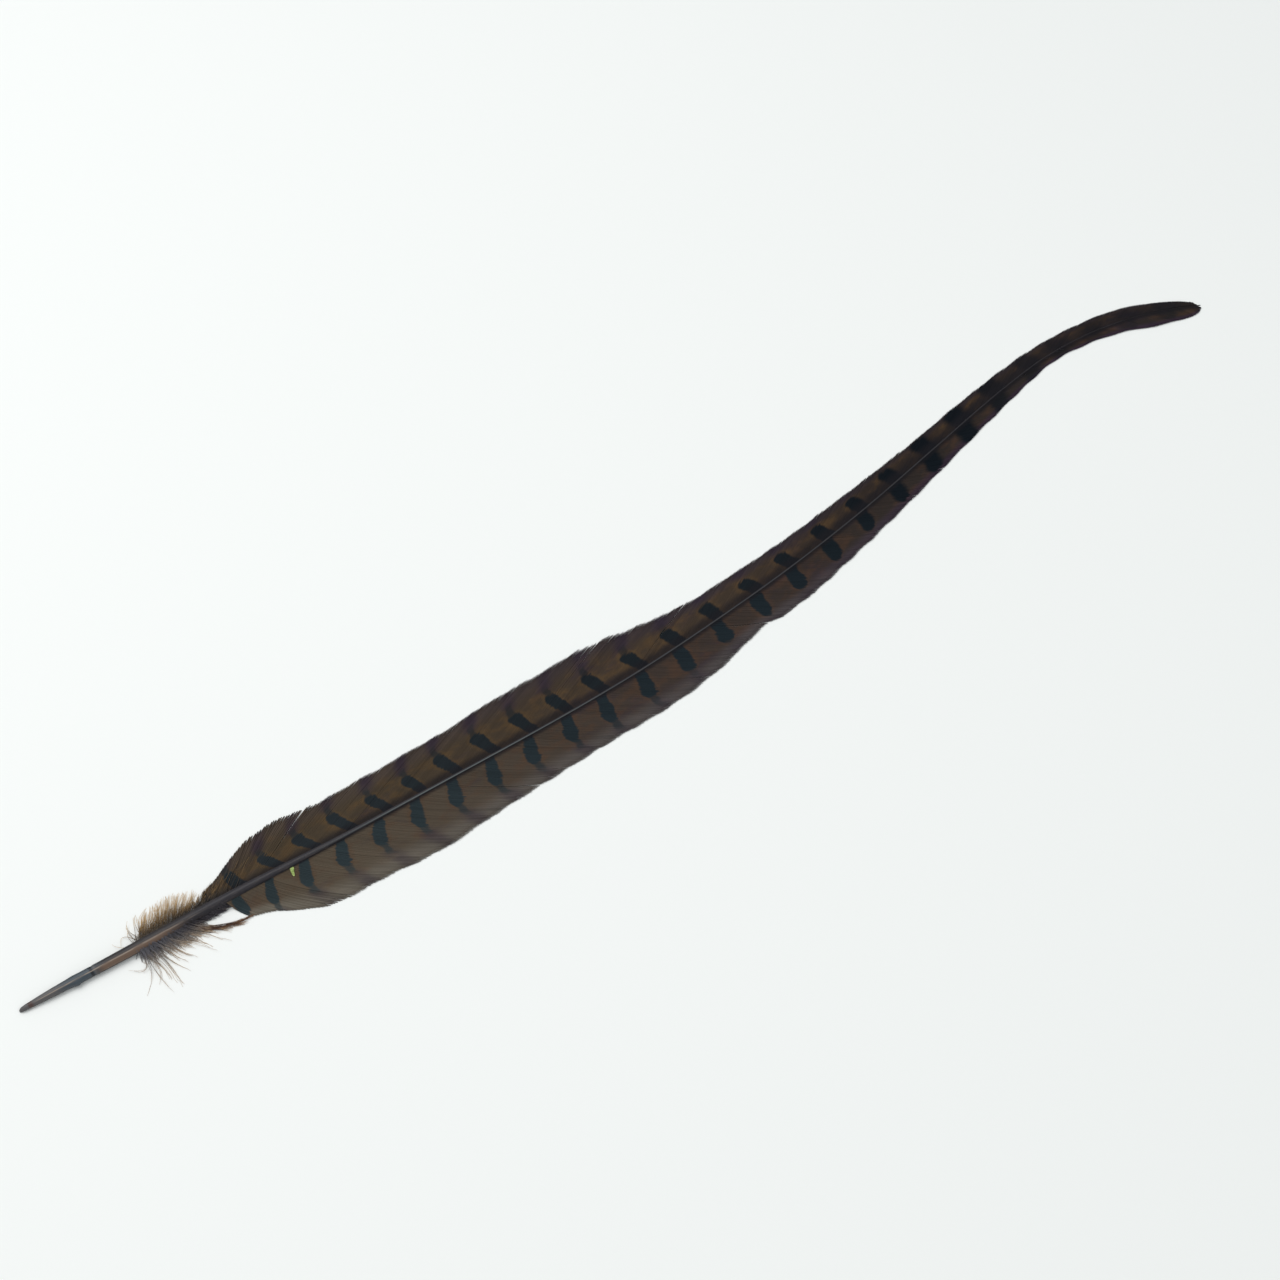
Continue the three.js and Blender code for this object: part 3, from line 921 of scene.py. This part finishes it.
# %% Horn finish
def horn_finish():
    """Glossy horn: grey at the quill's end, slate, brown beside the down, then dark with a pale line."""
    finish, tree, shader = new_finish("horn", roughness=0.36, specular=0.25)
    shader.inputs["Coat Weight"].default_value = 0.06
    shader.inputs["Coat Roughness"].default_value = 0.2
    along, turn = attribute(tree, "along"), attribute(tree, "round")
    grain = joined(tree, times(tree, along, 0.09), times(tree, turn, 3.0))
    streak = noise(tree, grain, 2.0, 5.0, 0.65)[0]

    def stretch(start, stop):
        """1 on a stretch of the shaft. start and stop are each (0 here, 1 here), in mm."""
        return times(tree, between(tree, along, *start), between(tree, along, *stop))

    def ring(place, outer, inner):
        """1 on a ring round the shaft, and 0 further than outer from its place."""
        away = calc(tree, "ABSOLUTE", calc(tree, "SUBTRACT", along, place))
        return between(tree, away, outer, inner)

    # a pale line that faces the wide side: broken along the quill, where it is a painted highlight, and
    # steady along the vanes, where it is the shaft's own pale line
    off_line = calc(tree, "ABSOLUTE", plus(tree, turn, 0.4))
    painted_quill_highlight = times(tree, stretch((4.0, 9.0), (84.0, 40.0)), between(tree, streak, 0.34, 0.55),
                       between(tree, off_line, 0.16, 0.03))
    fading = plus(tree, 0.35, times(tree, between(tree, along, 270.0, 200.0), 0.65))
    vane_line = times(tree, stretch((110.0, 175.0), (480.0, 400.0)), fading,
                      between(tree, off_line, 0.26, 0.06))
    # the pale line's colour, which along the quill is a painted highlight
    pale = blend(tree, between(tree, along, 80.0, 120.0), srgb(146, 134, 122), srgb(92, 100, 99))

    # the horn's colours, each laid over the ones before
    colour = srgb(88, 86, 86)
    for share, tint in (
        # dark slate past the quill's end, with a red-brown collar at the very end
        (between(tree, along, 12.0, 20.0), srgb(66, 75, 82)),
        (times(tree, stretch((2.4, 3.2), (5.4, 4.0)), 0.7), srgb(72, 46, 38)),
        # dark horn past the ring, and brown along its wide side
        (between(tree, along, 27.0, 36.0), srgb(42, 38, 39)),
        (times(tree, stretch((29.5, 34.0), (72.0, 54.0)), between(tree, turn, -0.1, -0.5)),
         srgb(108, 88, 74)),
        # purple-brown along the vanes, pale streaks, and painted shade along the quill's narrow side
        (between(tree, along, 58.0, 78.0), srgb(38, 36, 41)),
        (times(tree, between(tree, streak, 0.5, 0.7), 0.28), srgb(112, 98, 88)),
        (times(tree, between(tree, turn, 0.3, 0.85), between(tree, along, 90.0, 50.0), 0.7),
         srgb(24, 23, 27)),
        # the ring round the quill is a dark line with a pale lip
        (times(tree, ring(28.7, 0.8, 0.3), 0.8), srgb(22, 24, 30)),
        (times(tree, ring(30.1, 0.7, 0.2), 0.18), srgb(132, 122, 112)),
        # the pale line: painted highlight on the quill, the shaft's own pale line along the vanes
        (calc(tree, "MAXIMUM", painted_quill_highlight, vane_line), pale),
    ):
        colour = blend(tree, share, colour, tint)
    tree.links.new(colour, shader.inputs["Base Color"])

    duller = times(tree, between(tree, turn, 0.1, 0.6), 0.35)
    rough = plus(tree, 0.26, times(tree, streak, 0.3), duller)
    tree.links.new(rough, shader.inputs["Roughness"])
    raised = node(tree, "ShaderNodeBump", {"Strength": 0.35, "Distance": 0.0001, "Height": streak})
    tree.links.new(raised.outputs[0], shader.inputs["Normal"])
    return finish


shaft = shaft_piece()
shaft.data.materials.append(horn_finish())
stand_in(shaft, "shaft")
print("horn finish:", len(shaft.data.materials[0].node_tree.nodes), "nodes")

# %% [markdown]
# ## Down and loose barbs
#
# Below the vanes the barbs have no hooks, so they part into soft threads, most of them with fine hairs
# all round. They are dark at the root and tan where they thin out, and darker beside the vanes. A hair
# system would look right but isn't part of the mesh, so a second Geometry Nodes tree grows them: a bent
# thread on each seed, hairs set on it at a slant and turned at random, and a three-sided skin on both.
# Threads aren't strewn evenly. The long ones cling together in wisps that share a tip, so each wisp is
# listed one by one and its threads are scattered in it. The short ones stand close in broad fans, whose
# tips lie along a line.

# %% Down tree
HAIR_SLANT = (1, 0.55, 0)    # along its thread and away from it
HAIR_LENGTHS = (0.35, 1.0)   # shortest and longest, as shares of the seed's hair length
HAIR_FLOOR = 0.00005         # m, no hair lies lower than this
THREAD_FLOOR = 0.0001        # m, and no thread


def random_number(tree, seed, low, high):
    """A random number for each point."""
    return node(tree, "FunctionNodeRandomValue", {"Seed": seed, 2: low, 3: high},
                data_type="FLOAT").outputs[1]


def down_tree():
    """Soft threads with fine hairs."""
    tree, given = new_tree("down", [
        ("Steps", "NodeSocketInt", 14), ("Hairs", "NodeSocketInt", 40), ("Seed", "NodeSocketInt", 5),
        ("Sway", "NodeSocketFloat", 0.0009), ("Sway length", "NodeSocketFloat", 0.006),
        ("Hair width", "NodeSocketFloat", 0.028), ("Finish", "NodeSocketMaterial", None),
    ])
    lines, share, place = bent_lines(tree, given["Seeds"], given["Steps"])
    fall = calc(tree, "POWER", rest_of_one(tree, share), 2.0)
    height = plus(tree, times(tree, named(tree, "rise"), fall), named(tree, "lift"))

    # a thread sways more towards its tip, in its own way, and stays above the table
    own_place = move(tree, "ADD", place, scaled(tree, named(tree, "bend", "FLOAT_VECTOR"), 0.4))
    sway = noise(tree, own_place, calc(tree, "DIVIDE", 1.0, given["Sway length"]), 1.0)[1]
    sway = move(tree, "SUBTRACT", sway, (0.5, 0.5, 0.5))
    sway = scaled(tree, sway, times(tree, share, 2.0, given["Sway"]))
    x, y, z = parts(tree, move(tree, "ADD", place, sway))
    height = calc(tree, "MAXIMUM", plus(tree, height, z), THREAD_FLOOR)
    lines = put_at(tree, lines, joined(tree, x, y, height))
    section = node(tree, "GeometryNodeCurvePrimitiveCircle", {"Resolution": 3, "Radius": 1.0}).outputs[0]
    width = mix_of(tree, share, named(tree, "root_width"), named(tree, "tip_width"))
    threads = skinned(tree, lines, section, width)

    # hairs: a slanting strand of unit length, laid along the thread and turned about it
    feet = node(tree, "GeometryNodeResampleCurve", {"Curve": lines, "Count": given["Hairs"]}).outputs[0]
    strand = node(tree, "GeometryNodeCurvePrimitiveLine", {"Start": (0, 0, 0), "End": HAIR_SLANT})
    tangent = node(tree, "GeometryNodeInputTangent").outputs[0]
    facing = node(tree, "FunctionNodeAlignRotationToVector", {"Vector": tangent}, axis="X").outputs[0]
    spin = joined(tree, random_number(tree, given["Seed"], 0.0, 2 * math.pi))
    facing = node(tree, "FunctionNodeRotateRotation", {"Rotation": facing, "Rotate By": spin},
                  rotation_space="LOCAL").outputs[0]
    length = random_number(tree, plus(tree, given["Seed"], 1.0), *HAIR_LENGTHS)
    shorter = calc(tree, "SUBTRACT", 1.1, times(tree, share, 0.6))
    size = times(tree, length, named(tree, "hair"), shorter)
    haired = calc(tree, "GREATER_THAN", named(tree, "hair"), 0.0)
    hairs = node(tree, "GeometryNodeInstanceOnPoints",
                 {"Points": feet, "Instance": strand.outputs[0], "Selection": haired,
                  "Rotation": facing, "Scale": size}).outputs[0]
    x, y, z = parts(tree, position(tree))
    above = joined(tree, x, y, calc(tree, "MAXIMUM", z, HAIR_FLOOR))
    hairs = put_at(tree, realized(tree, hairs), above)
    hairs = skinned(tree, hairs, section, times(tree, given["Hair width"], MM))
    both = node(tree, "GeometryNodeJoinGeometry")
    for made in (threads, hairs):
        tree.links.new(made, both.inputs[0])
    close_tree(tree, both.outputs[0], given["Finish"])
    return tree


DOWN = down_tree()
print("down tree:", len(DOWN.nodes), "nodes")

# %% Wisps and fans of down
# Each wisp: where it leaves the shaft (x), the point it bends over, its tip, and its threads
WIDE_WISPS = [
    (48, (50.5, -17), (41.7, -23.9), 3), (48.6, (52, -15), (47.6, -22), 5),
    (49, (48, -20), (50.5, -28), 3), (49.5, (52, -17), (52.5, -23.5), 5),
    (50.5, (55.5, -18), (54, -27.5), 5), (52, (54.5, -15), (59.5, -24), 7),
    (53.5, (57, -14), (60, -20), 9), (55, (59, -13), (64, -21.5), 9),
    (57, (61.5, -12), (65.5, -17.5), 9), (59, (64, -13), (71, -20), 9),
    (61, (66, -13), (72.5, -23), 7), (62.5, (67, -12), (72, -16.5), 11),
    (64, (71, -13), (78, -22.5), 5), (66, (71, -12), (76, -17), 11),
    (67.5, (74, -12), (80, -19), 7), (48, (47.5, -18.5), (40.6, -10.5), 3),
]
NARROW_WISPS = [
    (47.8, (43, -0.8), (40.6, 3.4), 1), (48, (43.5, 6.5), (42.5, 0.8), 1),
    (48.4, (44, 4), (47.5, 5), 1), (49, (46, 4.5), (49, 8.6), 3),
    (50, (49.5, 5), (53, 9), 3), (51, (52, 6), (57, 9.2), 3),
]
WISP_TAN = 1.4               # how soon a wisp's threads turn tan
WISP_HAIRS = (0.2, 0.7)      # mm, shortest and longest
WISP_THICK = 0.12            # mm, a thread's radius at its root
SHORTEST = 0.45              # shortest thread or hair, as a share of the longest

# Each fan: the first and last root (x), the line its tips lie on, threads, how soon it turns tan, the
# longest hair (0 for none) and a thread's radius at the root, both in mm
WIDE_FANS = [
    (47.5, 56, [(46.5, -10.5), (51, -13), (57, -14)], 48, 0.9, 1.1, 0.11),
    (56, 70, [(58, -14.5), (63, -15), (69, -14.5), (75, -13)], 84, 0.9, 1.1, 0.1),
    (47, 69, [(46, -8.6), (50, -10.6), (58, -11), (66, -11), (73, -10.6)], 100, 0.35, 0.9, 0.13),
    (62, 84, [(67, -10.6), (78, -9.8), (88, -9.6)], 190, 0.25, 0, 0.2),
]
NARROW_FANS = [
    (49, 70, [(53, 6.5), (60, 8.6), (66, 9), (72, 7), (77, 3.4)], 150, 1.3, 1.0, 0.11),
    (48, 80, [(50, 0.6), (58, 2.2), (66, 2), (74, 1.2), (87, 0)], 190, 0.7, 0, 0.18),
    (71, 90, [(80, 2.4), (84, 2.6), (93, 4.4), (103, 4)], 64, 0.5, 1.0, 0.12),
]
print("wisps:", len(WIDE_WISPS), "wide,", len(NARROW_WISPS), "narrow")
print("fans:", len(WIDE_FANS), "wide,", len(NARROW_FANS), "narrow")

# %% Seeds of the down
WISP_SCATTER = (0.9, 0.7, 0.3)    # mm, of its roots, of where its threads bend over, and of its tips
FAN_BOW = (-0.8, 1.2)        # mm, back and outwards, over a thread's middle
FAN_SCATTER = 0.5            # mm, of where a fan's threads bend over
FAN_TIPS = (1.4, 0.6)        # mm, scatter of a fan's tips along it and across
DOWN_ROOT_OUT = 0.36         # of the shaft's width, from its middle to the down's roots
DOWN_LIFTS = (0.15, 1.0)     # mm, lowest and highest thread
THIN_TIP = 0.35              # a thread's radius at its tip, as a share of that at its root
FOOT_FROM = 56               # mm, where the roots start to take the darker tone beside the vanes
FOOT_RUN = 12                # mm, and how far on they all have it


def point_on(line, share):
    """The point at this share of a row of points, straight from one to the next."""
    at = share * (len(line) - 1)
    return np.array([np.interp(at, range(len(line)), [p[i] for p in line]) for i in (0, 1)])


def wisp_rows(rng, wisps):
    """A row for each thread of the wisps. The first thread of a wisp has its full length."""
    root_scatter, bend_scatter, tip_scatter = WISP_SCATTER
    for root_x, over, end, threads in wisps:
        for k in range(threads):
            length = 1 if k == 0 else rng.uniform(SHORTEST, 1.0)
            over_here = np.array(over) + rng.normal(size=2) * bend_scatter
            end_here = np.array(end) + rng.normal(size=2) * tip_scatter * (1 + k / 2)
            hair = rng.uniform(*WISP_HAIRS)
            x = root_x + rng.normal() * root_scatter
            yield x, over_here, end_here, length, WISP_TAN, hair, WISP_THICK


def fan_rows(rng, side, fans):
    """A row for each thread of the fans, bent a little back and outwards over its middle."""
    back, outwards = FAN_BOW
    for first, last, tips, threads, tan, longest, thick in fans:
        for k in range(threads):
            share = (k + rng.random()) / threads
            x = first + (last - first) * share
            end = point_on(tips, share) + rng.normal(size=2) * FAN_TIPS
            middle = (np.array((x, float(shaft_y(x)))) + end) / 2
            over = middle + (back, side * outwards) + rng.normal(size=2) * FAN_SCATTER
            length = 1 - 0.5 * rng.random() ** 1.5
            yield x, over, end, length, tan, longest * rng.uniform(SHORTEST, 1), thick


def on_table(points):
    """Points (x, y) in mm, as places on the table in metres."""
    return placed(np.pad(points, ((0, 0), (0, 1))))


def down_seeds(side, wisps, fans, seed):
    """Seeds of down on one side of the shaft, -1 for the wide side and 1 for the narrow one."""
    rng = np.random.default_rng(seed)
    rows = [*wisp_rows(rng, wisps), *fan_rows(rng, side, fans)]
    x, bend, tip, length, tan, hair, thick = (np.array(v) for v in zip(*rows))
    root = np.stack([x, shaft_y(x) + side * shaft_width(x) * DOWN_ROOT_OUT], 1)
    share = length[:, None]
    short_tip = root * (1 - share) ** 2 + bend * 2 * share * (1 - share) + tip * share ** 2
    short_bend = root * (1 - share) + bend * share
    return {
        "root": on_table(root), "bend": on_table(short_bend), "tip": on_table(short_tip),
        "rise": (0.3 + 0.35 * rng.random(len(x))) * shaft_thickness(x) * MM,
        "lift": rng.uniform(*DOWN_LIFTS, len(x)) * MM,
        "root_width": thick * MM, "tip_width": THIN_TIP * thick * MM,
        "hair": hair * MM, "tone": rng.random(len(x)), "reached": length * tan,
        "near_vane": np.clip((x - FOOT_FROM) / FOOT_RUN, 0, 1),
    }


wide_down_seeds = down_seeds(-1, WIDE_WISPS, WIDE_FANS, seed=21)
narrow_down_seeds = down_seeds(1, NARROW_WISPS, NARROW_FANS, seed=22)
print("threads:", len(wide_down_seeds["hair"]), "wide,", len(narrow_down_seeds["hair"]), "narrow")

# %% Down finish
def down_finish(name, root, foot, middle, tip):
    """Soft down: root on the quill, foot beside the vanes, then middle and tip along a thread."""
    finish, tree, shader = new_finish(name, roughness=0.8, specular=0.1, sheen=0.15)
    root = blend(tree, attribute(tree, "near_vane"), root, foot)
    share = times(tree, attribute(tree, "share_of_barb"), attribute(tree, "reached"))
    tone = calc(tree, "SUBTRACT", attribute(tree, "tone"), 0.5)
    share = plus(tree, share, times(tree, tone, 0.25))
    colour = blend(tree, between(tree, share, 0.15, 0.5), root, middle)
    colour = blend(tree, between(tree, share, 0.5, 0.95), colour, tip)
    tree.links.new(colour, shader.inputs["Base Color"])
    return finish


WIDE_DOWN = down_finish("wide_down", srgb(102, 101, 107), srgb(66, 63, 68), srgb(138, 127, 118),
                        srgb(186, 162, 134))
NARROW_DOWN = down_finish("narrow_down", srgb(86, 74, 60), srgb(58, 52, 46), srgb(136, 110, 76),
                          srgb(208, 176, 128))
STRAND = down_finish("strand", srgb(74, 54, 46), srgb(74, 54, 46), srgb(98, 70, 54),
                     srgb(156, 124, 94))
print("down finishes:", WIDE_DOWN.name + ",", NARROW_DOWN.name, "and", STRAND.name)

# %% Grow the down
THREAD_STEPS = 14
HAIRS = 40                   # on each thread
HAIR_SEED = 5


def make_down(name, seeds, finish, node_name, slot, **sizes):
    """Grows a piece of down and puts it in its node's place."""
    piece = grow(name, DOWN, seeds, Steps=THREAD_STEPS, Hairs=HAIRS, Seed=HAIR_SEED, Finish=finish,
                 **sizes)
    return stand_in(piece, node_name)


make_down("wide_down", wide_down_seeds, WIDE_DOWN, "wide_side_down", "down")
make_down("narrow_down", narrow_down_seeds, NARROW_DOWN, "narrow_side_down", "down")

# %% [markdown]
# ## Strand that came away
#
# A lock of barbs at the foot of the wide vane has come off it and lies in an arc of its own, with a
# pale gap between. It is grown by the same tree, with thicker threads that keep close together and a
# fringe of fine ones along its outer side.

# %% Loose strand
STRAND_ROOT = (66.5, -8.6)   # the core's first root, the point it bends over, and its tip
STRAND_OVER = (76.6, -17.2)
STRAND_TIP = (89.6, -18.4)
ROOT_STEP = 0.25             # mm, from one root of the core to the next
FRINGE_FROM = (70, -12.2)    # the fringe grows on the line between these two
FRINGE_TO = (87, -18.2)
STRAND_SWAY = 0.0003         # m
CORE = 12                    # threads in its core, thin ones beside it, and threads in its fringe
BESIDE = 5
FRINGE = 26


def on_line(start, end, share):
    """The point at this share of the way from start to end."""
    return np.array(start) * (1 - share) + np.array(end) * share


def strand_rows(rng):
    """Rows of root, bend, tip, radius at root and tip, hair, and how soon tan, in mm."""
    for k in range(CORE):
        off = rng.normal(size=2) * (0.4, 0.34)
        tip = on_line(STRAND_ROOT, STRAND_TIP, rng.uniform(0.82, 1.0)) + off * 0.7
        root = (STRAND_ROOT[0] + k * ROOT_STEP, STRAND_ROOT[1])
        yield root, np.array(STRAND_OVER) + off, tip, 0.18, 0.08, 0.4, 0.55
    for _ in range(BESIDE):
        off = rng.normal(size=2) * 0.2
        over, tip = np.array((78.4, -16.2)) + off, np.array((90, -17.9)) + off
        yield (70, -9.4), over, tip, 0.09, 0.04, 0.4, 0.9
    for _ in range(FRINGE):
        here = on_line(FRINGE_FROM, FRINGE_TO, rng.uniform(0, 0.65))
        away = np.array((rng.uniform(3.5, 6.5), rng.uniform(-3.8, -1.8)))
        yield here, here + away * (0.5, 0.7), here + away, 0.15, 0.06, 0.7, 1.1


def strand_seeds(seed):
    """Seeds of the strand: its core, a few thin threads beside it, and its fringe."""
    rng = np.random.default_rng(seed)
    root, bend, tip, thick, thin, hair, tan = (np.array(v, float) for v in zip(*strand_rows(rng)))
    count = len(root)
    return {
        "root": on_table(root), "bend": on_table(bend), "tip": on_table(tip),
        "rise": np.full(count, 0.5) * MM, "lift": rng.uniform(0.15, 0.7, count) * MM,
        "root_width": thick * MM, "tip_width": thin * MM, "hair": hair * MM,
        "tone": rng.random(count), "reached": tan, "near_vane": np.zeros(count),
    }


make_down("loose_strand", strand_seeds(31), STRAND, "loose_barbs", "wide_web", Sway=STRAND_SWAY)

# %% [markdown]
# ## A chip of leaf
#
# One small yellow-green chip lies on the wide vane near its foot. It is a thin, slightly curled flake
# with an uneven outline, so a few listed points describe it best. Each point is laid on the
# barbs under it, which keeps the chip from sinking into the vane.

# %% Chip
CHIP_OUTLINE = [
    (110.15, -10.65), (110.8, -10.45), (111.8, -10.7), (111.7, -11.25), (111.1, -12.15),
    (110.7, -13.15), (110.35, -13.85), (109.85, -13.75), (109.8, -12.55), (110.0, -11.55),
]
CHIP_THICK = 0.12            # mm
CHIP_CURL = 0.12             # mm up for each mm from its middle
UNDER_CHIP = 0.8             # mm, barbs this near a point of the outline carry it
SPECKLES = 1500.0            # to the metre


def height_near(piece, spot):
    """The highest point of the piece near a spot on the table, in mm."""
    points = np.empty(3 * len(piece.data.vertices), np.float32)
    piece.data.vertices.foreach_get("co", points)
    points = points.reshape(-1, 3) / MM - SHIFT
    near = np.hypot(points[:, 0] - spot[0], points[:, 1] - spot[1]) < UNDER_CHIP
    return float(points[near, 2].max())


def leaf_finish():
    """Yellow-green with darker specks."""
    finish, tree, shader = new_finish("leaf", roughness=0.5, specular=0.4)
    place = node(tree, "ShaderNodeTexCoord").outputs["Object"]
    speckle = between(tree, noise(tree, place, SPECKLES, 2.0)[0], 0.35, 0.65)
    colour = blend(tree, speckle, srgb(118, 142, 62), srgb(166, 184, 108))
    tree.links.new(colour, shader.inputs["Base Color"])
    return finish


def make_chip():
    """The chip, lying on the wide vane."""
    middle = np.mean(CHIP_OUTLINE, axis=0)
    bottom = [(x, y, height_near(wide_vane, (x, y)) + CHIP_CURL * abs(x - middle[0]))
              for x, y in CHIP_OUTLINE]
    top = [(x, y, z + CHIP_THICK) for x, y, z in bottom]
    n = len(CHIP_OUTLINE)
    faces = [tuple(reversed(range(n))), tuple(range(n, 2 * n))]
    faces += [(i, (i + 1) % n, n + (i + 1) % n, n + i) for i in range(n)]
    mesh = bpy.data.meshes.new("leaf_chip")
    mesh.from_pydata([tuple(p) for p in placed(top + bottom)], [], faces)
    mesh.materials.append(leaf_finish())
    chip = new_object("leaf_chip", mesh)
    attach(chip, "root")
    print("chip lies at, mm:", round(min(z for _, _, z in bottom), 2))


make_chip()

# %% Finish
for guide in (shaft_guide, wide_guide, narrow_guide):
    bpy.data.objects.remove(guide)
boxes = {"cad": CAD_BOX, "visual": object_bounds()}
{k: [[float(v) for v in corner] for corner in box] for k, box in boxes.items()}
